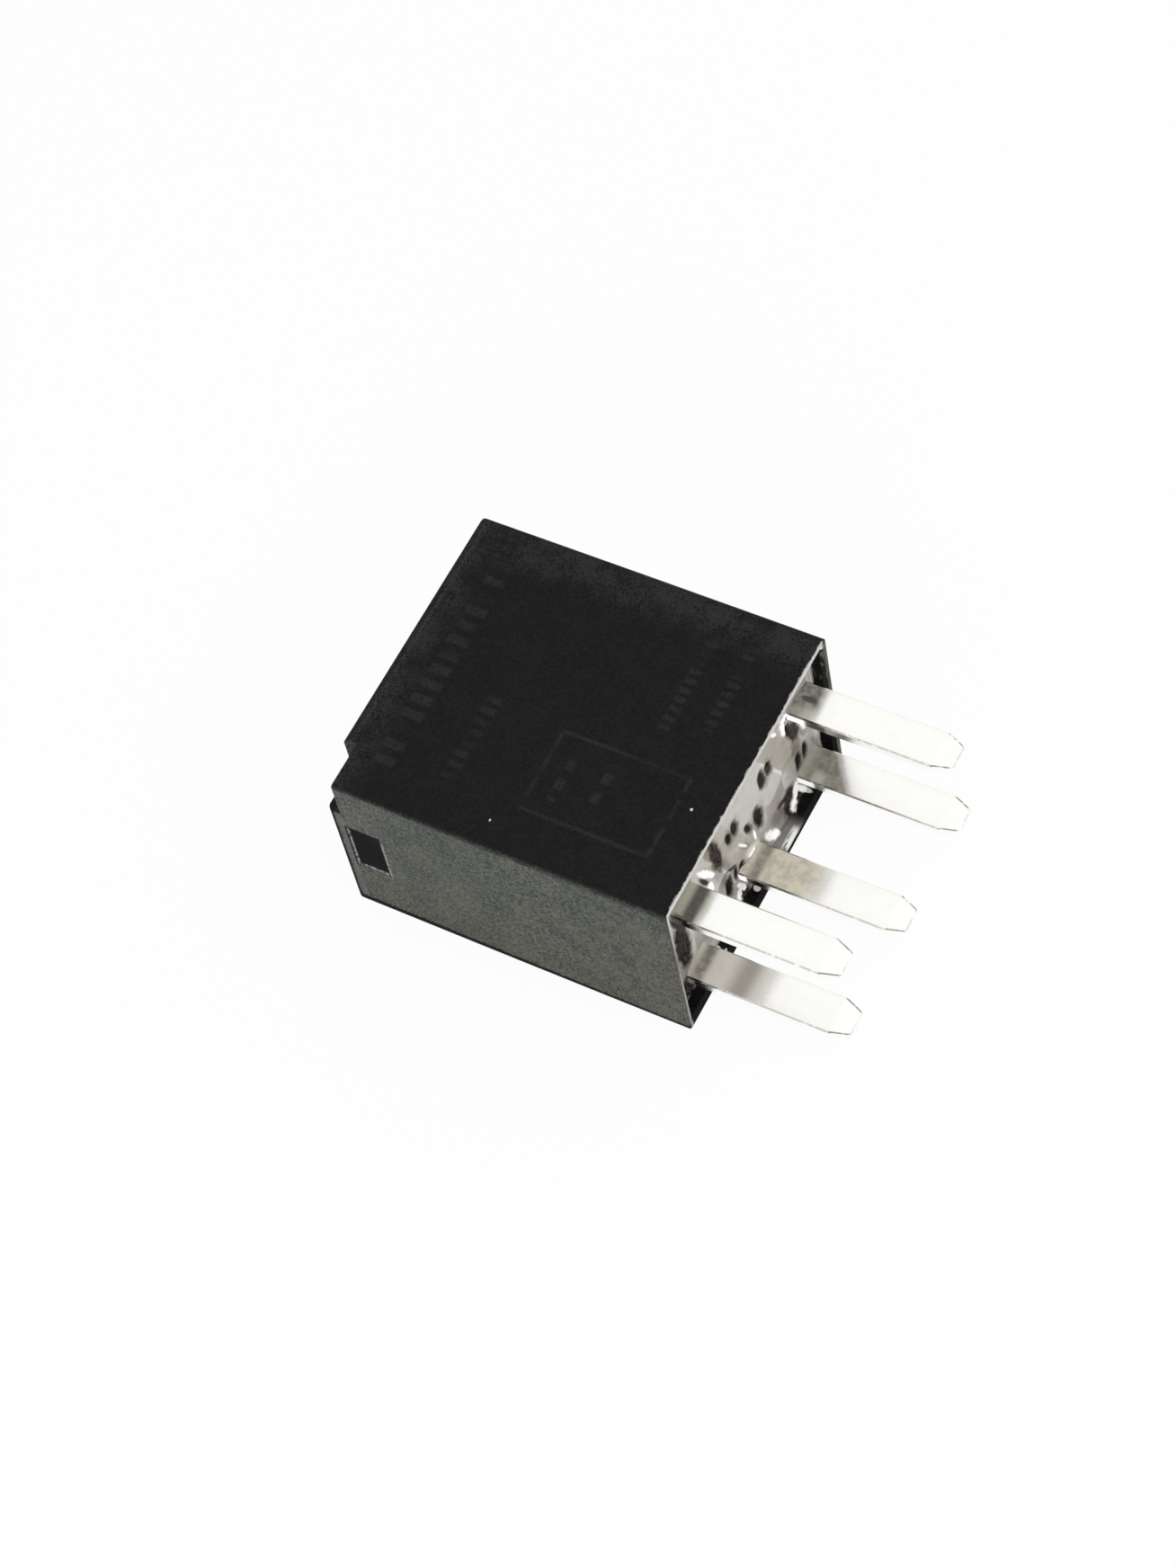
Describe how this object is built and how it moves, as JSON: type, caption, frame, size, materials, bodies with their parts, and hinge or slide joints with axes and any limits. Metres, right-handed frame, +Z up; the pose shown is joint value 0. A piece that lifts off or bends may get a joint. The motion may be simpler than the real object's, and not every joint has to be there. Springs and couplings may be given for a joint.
{
  "type": "plug-in relay",
  "caption": "Plug-in relay: plain box-shaped case with a key notch and grip pockets, a resin-sealed base set back in the rim, and flat blades out of one end.",
  "frame": {"origin": "middle of the broad face that the relay lies on", "axes": "+X towards the blade tips, +Z up, out of the other broad face"},
  "size_m": [0.0361, 0.0228, 0.0148],
  "materials": {
    "case_plastic": "fine spark-eroded mould texture, black",
    "base_plastic": "plain moulded, black",
    "resin": "glossy poured resin, grey",
    "tinned_strip": "bright tin plate over copper alloy strip",
    "bobbin_plastic": "plain moulded, cream",
    "magnet_wire": "enamelled copper wire",
    "soft_iron": "bare soft iron with a light plating",
    "plated_iron": "zinc plate",
    "spring_bronze": "rolled spring bronze",
    "contact_silver": "satin silver alloy",
    "resistor_coat": "lacquered ceramic"
  },
  "bodies": {
    "relay_body": {"case": "case_plastic", "base": "base_plastic", "sealing_resin": "resin", "common_terminal": "tinned_strip", "closed_contact_terminal": "tinned_strip", "open_contact_terminal": "tinned_strip", "coil_terminal_near": "tinned_strip", "coil_terminal_far": "tinned_strip", "bobbin": "bobbin_plastic", "coil_winding": "magnet_wire", "coil_wire_near": "magnet_wire", "coil_wire_far": "magnet_wire", "core": "soft_iron", "yoke": "plated_iron", "terminal_rivet": "plated_iron", "spring_rivets": "plated_iron", "closed_fixed_contact": "contact_silver", "open_fixed_contact": "contact_silver", "resistor_body": "resistor_coat", "resistor_leads": "tinned_strip"},
    "armature": {"armature": "soft_iron", "contact_spring": "spring_bronze", "armature_rivets": "plated_iron", "moving_contact": "contact_silver"}
  },
  "joints": [
    {"name": "armature_hinge", "type": "hinge", "parent": "relay_body", "child": "armature", "pos_m": [-0.007, -0.009, 0.0074], "axis": [0, 0, -1], "range_deg": [0, 3.5], "stiffness_Nm_per_rad": 0.004, "springref_deg": -17.19, "deforming": ["contact_spring"]}
  ]
}
